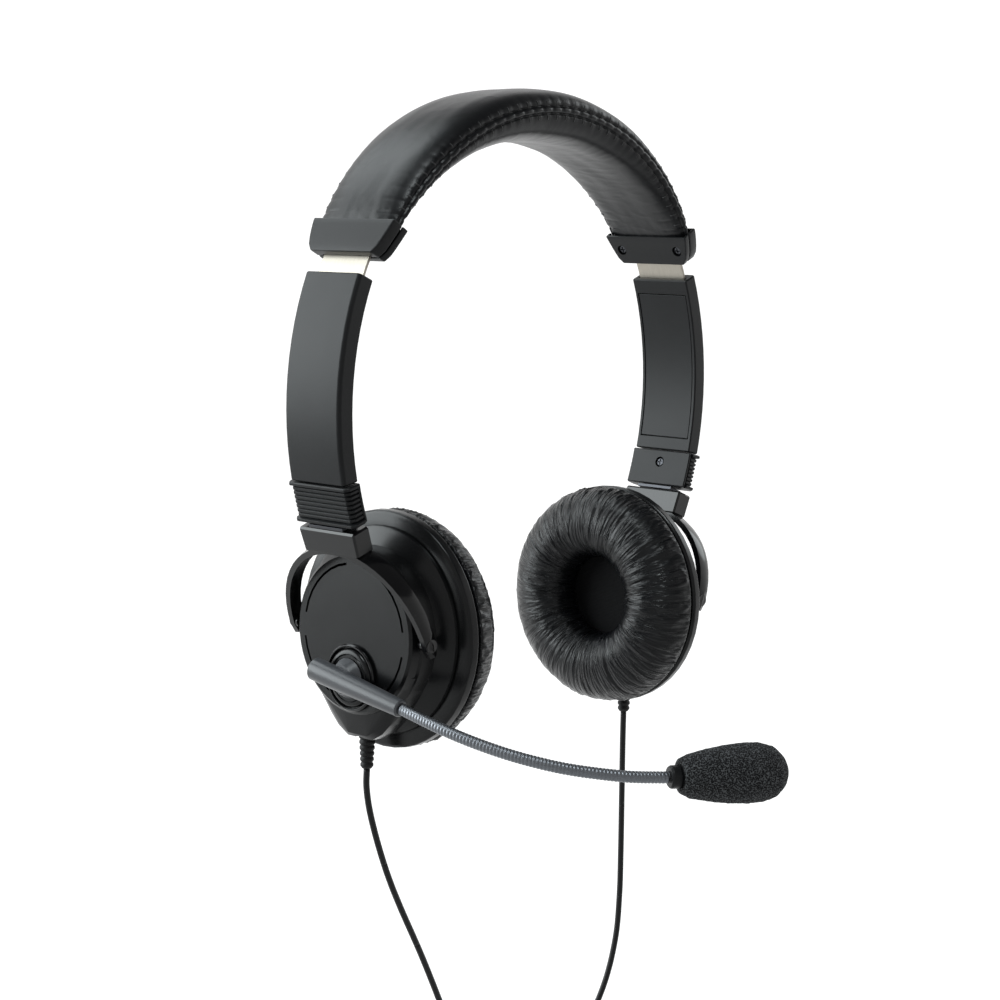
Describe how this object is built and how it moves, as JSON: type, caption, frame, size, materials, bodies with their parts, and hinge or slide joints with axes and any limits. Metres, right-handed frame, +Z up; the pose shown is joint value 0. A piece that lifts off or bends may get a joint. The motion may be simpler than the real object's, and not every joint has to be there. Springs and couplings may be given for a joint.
{
  "type": "office headset",
  "caption": "On-ear office headset: padded steel headband, sliding and swivelling round cups, gooseneck boom microphone with foam windscreen, and a USB lead.",
  "frame": {"origin": "middle of the line between the two ear cups' centres, inside the wearer's head", "axes": "+Z up to the headband's crest, +X to the wearer's left ear, -Y the way the wearer faces"},
  "size_m": [0.18, 0.1604, 0.4889],
  "materials": {
    "satin_abs": "moulded ABS with a fine satin texture",
    "gloss_abs": "moulded ABS, polished",
    "band_leatherette": "PU leatherette, smooth fine grain, over foam",
    "pad_leatherette": "thin gathered PU leatherette over foam",
    "band_steel": "light spring steel",
    "spring_steel": "spring steel",
    "screw_steel": "black oxide steel",
    "gooseneck_steel": "gunmetal coated spiral wire",
    "windscreen_foam": "open-cell foam",
    "driver_cloth": "fine woven acoustic cloth",
    "driver_metal": "plated steel",
    "lead_pvc": "soft PVC",
    "plated_steel": "nickel plated steel",
    "tongue_plastic": "white PBT"
  },
  "bodies": {
    "headband": {"cap_screw_l_back": "screw_steel", "cap_screw_l_front": "screw_steel", "cap_screw_r_back": "screw_steel", "cap_screw_r_front": "screw_steel", "cord_coil": "lead_pvc", "cord_l": "lead_pvc", "cord_r": "lead_pvc", "cord_splitter": "lead_pvc", "cord_tie": "satin_abs", "end_cap_inner_l": "satin_abs", "end_cap_inner_r": "satin_abs", "end_cap_outer_l": "satin_abs", "end_cap_outer_r": "satin_abs", "headband_cushion": "band_leatherette", "main_cord": "lead_pvc", "plug_body": "satin_abs", "plug_cord": "lead_pvc", "plug_shell": "plated_steel", "plug_tongue": "tongue_plastic", "spring_band": "band_steel"},
    "slider_r": {"detent_spring_r": "spring_steel", "ribbed_sleeve_r": "satin_abs", "sleeve_cover_r": "satin_abs", "sleeve_screw_r": "screw_steel", "slider_cover_r": "satin_abs", "slider_shell_r": "satin_abs"},
    "yoke_r": {"pivot_pin_r_back": "screw_steel", "pivot_pin_r_front": "screw_steel", "swivel_pin_r": "plated_steel", "yoke_fork_r": "gloss_abs"},
    "cup_r": {"boom_bezel": "gloss_abs", "cup_baffle_r": "satin_abs", "driver_cloth_r": "driver_cloth", "driver_r": "driver_metal", "ear_cushion_r": "pad_leatherette", "outer_shell_r": "satin_abs", "strain_relief_r": "lead_pvc"},
    "slider_l": {"detent_spring_l": "spring_steel", "ribbed_sleeve_l": "satin_abs", "sleeve_cover_l": "satin_abs", "sleeve_screw_l": "screw_steel", "slider_cover_l": "satin_abs", "slider_shell_l": "satin_abs"},
    "yoke_l": {"pivot_pin_l_back": "screw_steel", "pivot_pin_l_front": "screw_steel", "swivel_pin_l": "plated_steel", "yoke_fork_l": "gloss_abs"},
    "cup_l": {"cup_baffle_l": "satin_abs", "driver_cloth_l": "driver_cloth", "driver_l": "driver_metal", "ear_cushion_l": "pad_leatherette", "outer_shell_l": "satin_abs", "strain_relief_l": "lead_pvc"},
    "boom": {"boom_arm": "satin_abs", "boom_disc": "satin_abs", "gooseneck": "gooseneck_steel"},
    "mic": {"foam_windscreen": "windscreen_foam", "mic_capsule": "driver_metal", "mic_housing": "satin_abs"}
  },
  "joints": [
    {"name": "slider_adjust_r", "type": "hinge", "parent": "headband", "child": "slider_r", "pos_m": [0.016, 0, 0.072], "axis": [0, -1, 0], "range_deg": [-2.6, 12.5], "deforming": ["cord_r"]},
    {"name": "yoke_swivel_r", "type": "hinge", "parent": "slider_r", "child": "yoke_r", "pos_m": [-0.08079, 0, 0.0362], "axis": [-0.3469, 0, 0.9379], "range_deg": [-20, 20]},
    {"name": "cup_tilt_r", "type": "hinge", "parent": "yoke_r", "child": "cup_r", "pos_m": [-0.0674, 0, 0], "axis": [0, -1, 0], "range_deg": [-10, 10]},
    {"name": "slider_adjust_l", "type": "hinge", "parent": "headband", "child": "slider_l", "pos_m": [-0.016, 0, 0.072], "axis": [0, 1, 0], "range_deg": [-2.6, 12.5], "deforming": ["cord_l"]},
    {"name": "yoke_swivel_l", "type": "hinge", "parent": "slider_l", "child": "yoke_l", "pos_m": [0.08079, 0, 0.0362], "axis": [0.3469, 0, 0.9379], "range_deg": [-20, 20]},
    {"name": "cup_tilt_l", "type": "hinge", "parent": "yoke_l", "child": "cup_l", "pos_m": [0.0674, 0, 0], "axis": [0, 1, 0], "range_deg": [-10, 10]},
    {"name": "boom_swivel", "type": "hinge", "parent": "cup_r", "child": "boom", "pos_m": [-0.0761, 0, -0.0138], "axis": [-1, 0, 0], "range_deg": [-60, 45]},
    {"name": "gooseneck_bend", "type": "hinge", "parent": "boom", "child": "mic", "pos_m": [-0.0637, -0.073, -0.0293], "axis": [0, 0, 1], "range_deg": [-25, 25], "deforming": ["gooseneck"]}
  ]
}
